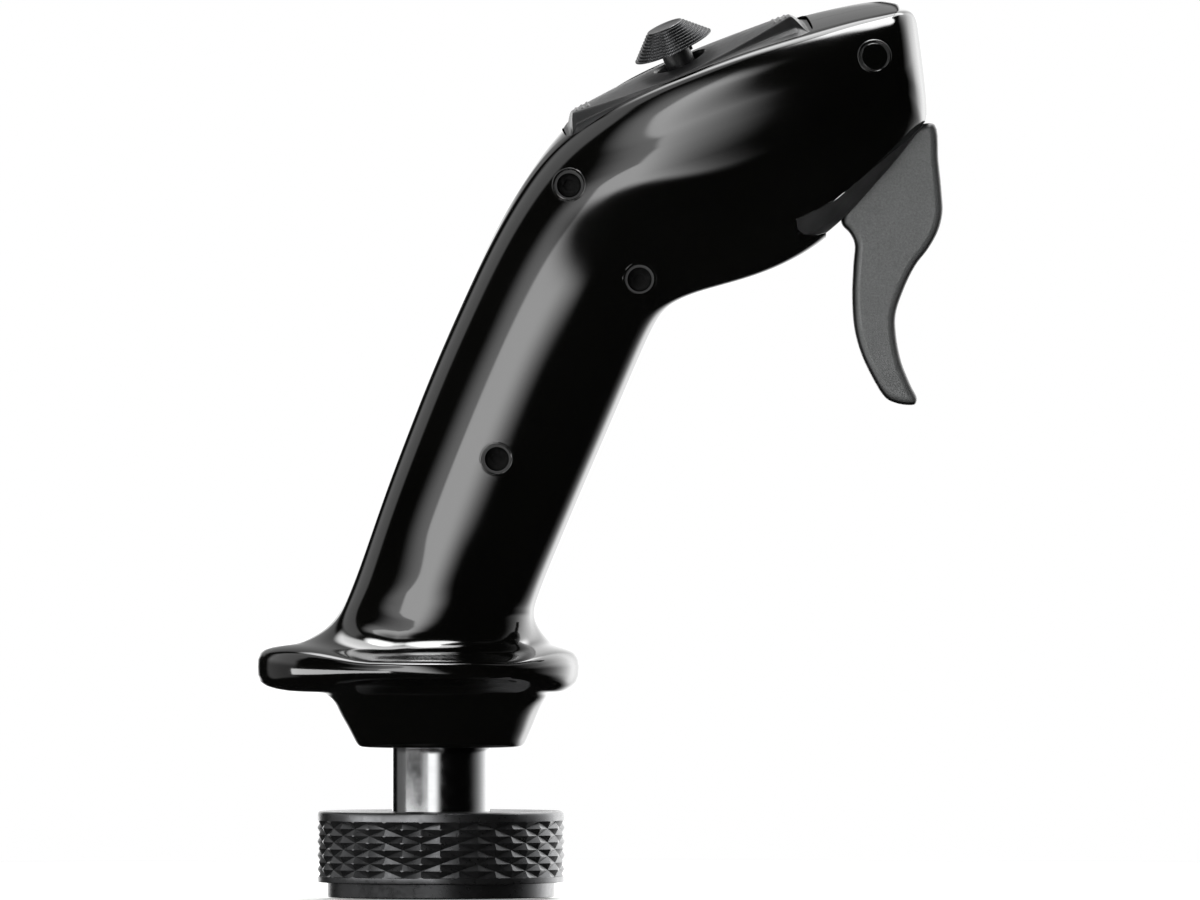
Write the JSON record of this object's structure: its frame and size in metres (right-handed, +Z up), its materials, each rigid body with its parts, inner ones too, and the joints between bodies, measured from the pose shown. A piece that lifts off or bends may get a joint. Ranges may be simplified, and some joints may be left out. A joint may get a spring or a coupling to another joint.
{
  "type": "flight joystick",
  "caption": "Right-hand flight joystick grip with palm rest, trigger, thumb hat and rocking thumb plate, on a steel stem with a knurled coupling nut.",
  "frame": {"origin": "centre of the stem's seat face, which meets the base inside the coupling nut", "axes": "+X forward towards the trigger, +Y to the left, +Z up along the stem, away from the base"},
  "size_m": [0.1715, 0.0714, 0.2241],
  "materials": {
    "gloss_shell": "high-gloss black moulded plastic",
    "satin_trim": "satin black moulded plastic",
    "trigger_metal": "bead-blasted grey coating",
    "anodised_metal": "satin dark grey anodising",
    "bright_steel": "turned and polished",
    "black_steel": "blackened",
    "brass": "machined",
    "circuit_board": "green solder mask",
    "nylon": "natural nylon",
    "rubber": "soft black rubber"
  },
  "bodies": {
    "grip": {"right_shell": "gloss_shell", "left_shell": "gloss_shell", "screw_plug": "gloss_shell", "shell_screw_1": "black_steel", "shell_screw_2": "black_steel", "shell_screw_3": "black_steel", "shell_screw_4": "black_steel", "threaded_insert_1": "brass", "threaded_insert_2": "brass", "threaded_insert_3": "brass", "threaded_insert_4": "brass", "trigger_bezel": "satin_trim", "trigger_pin": "bright_steel", "trigger_spring": "bright_steel", "trigger_bumper": "rubber", "trigger_sensor_board": "circuit_board", "deck_carrier": "nylon", "plate_axle_right": "bright_steel", "plate_axle_left": "bright_steel", "plate_switch_rear": "satin_trim", "plate_switch_front": "satin_trim", "hat_housing": "nylon", "hat_spring": "bright_steel", "hat_board": "circuit_board", "stem_tube": "bright_steel", "locating_key": "bright_steel", "stem_collar": "anodised_metal", "collar_screw_rear": "bright_steel", "collar_screw_front": "bright_steel", "connector_insert": "satin_trim", "contact_1": "brass", "contact_2": "brass", "contact_3": "brass", "contact_4": "brass", "contact_5": "brass", "main_board": "circuit_board", "board_screw_1": "bright_steel", "board_screw_2": "bright_steel", "controller_chip": "satin_trim", "loom_header": "nylon", "wiring_loom": "rubber", "hat_lead": "rubber", "trigger_lead": "rubber"},
    "trigger": {"trigger_blade": "trigger_metal", "trigger_magnet": "bright_steel"},
    "plate": {"thumb_plate": "satin_trim"},
    "hat_ring": {"hat_gimbal_ring": "bright_steel"},
    "hat": {"hat_stem": "satin_trim", "hat_cap": "anodised_metal"},
    "washer": {"thrust_washer": "nylon"},
    "nut": {"coupling_nut": "anodised_metal"}
  },
  "joints": [
    {"name": "trigger_pull", "type": "hinge", "parent": "grip", "child": "trigger", "pos_m": [0.1085, 0, 0.174], "axis": [0, 1, 0], "range_deg": [0, 9], "stiffness_Nm_per_rad": 0.9, "springref_deg": -11.46},
    {"name": "thumb_plate_rock", "type": "hinge", "parent": "grip", "child": "plate", "pos_m": [0.0625, 0.00134, 0.18962], "axis": [-0.0776, 0.9816, 0.1743], "range_deg": [-2, 2], "stiffness_Nm_per_rad": 1.6},
    {"name": "hat_tilt_lengthwise", "type": "hinge", "parent": "grip", "child": "hat_ring", "pos_m": [0.06329, 0.00172, 0.18783], "axis": [-0.0776, 0.9816, 0.1743], "range_deg": [-10, 10], "stiffness_Nm_per_rad": 0.2},
    {"name": "hat_tilt_sideways", "type": "hinge", "parent": "hat_ring", "child": "hat", "pos_m": [0.06329, 0.00172, 0.18783], "axis": [0.9135, 0, 0.4067], "range_deg": [-10, 10], "stiffness_Nm_per_rad": 0.2},
    {"name": "nut_lift", "type": "slide", "parent": "grip", "child": "washer", "axis": [0, 0, 1], "range_m": [0, 0.0155]},
    {"name": "nut_spin", "type": "hinge", "parent": "washer", "child": "nut", "pos_m": [0, 0, 0], "axis": [0, 0, 1], "continuous": true}
  ]
}
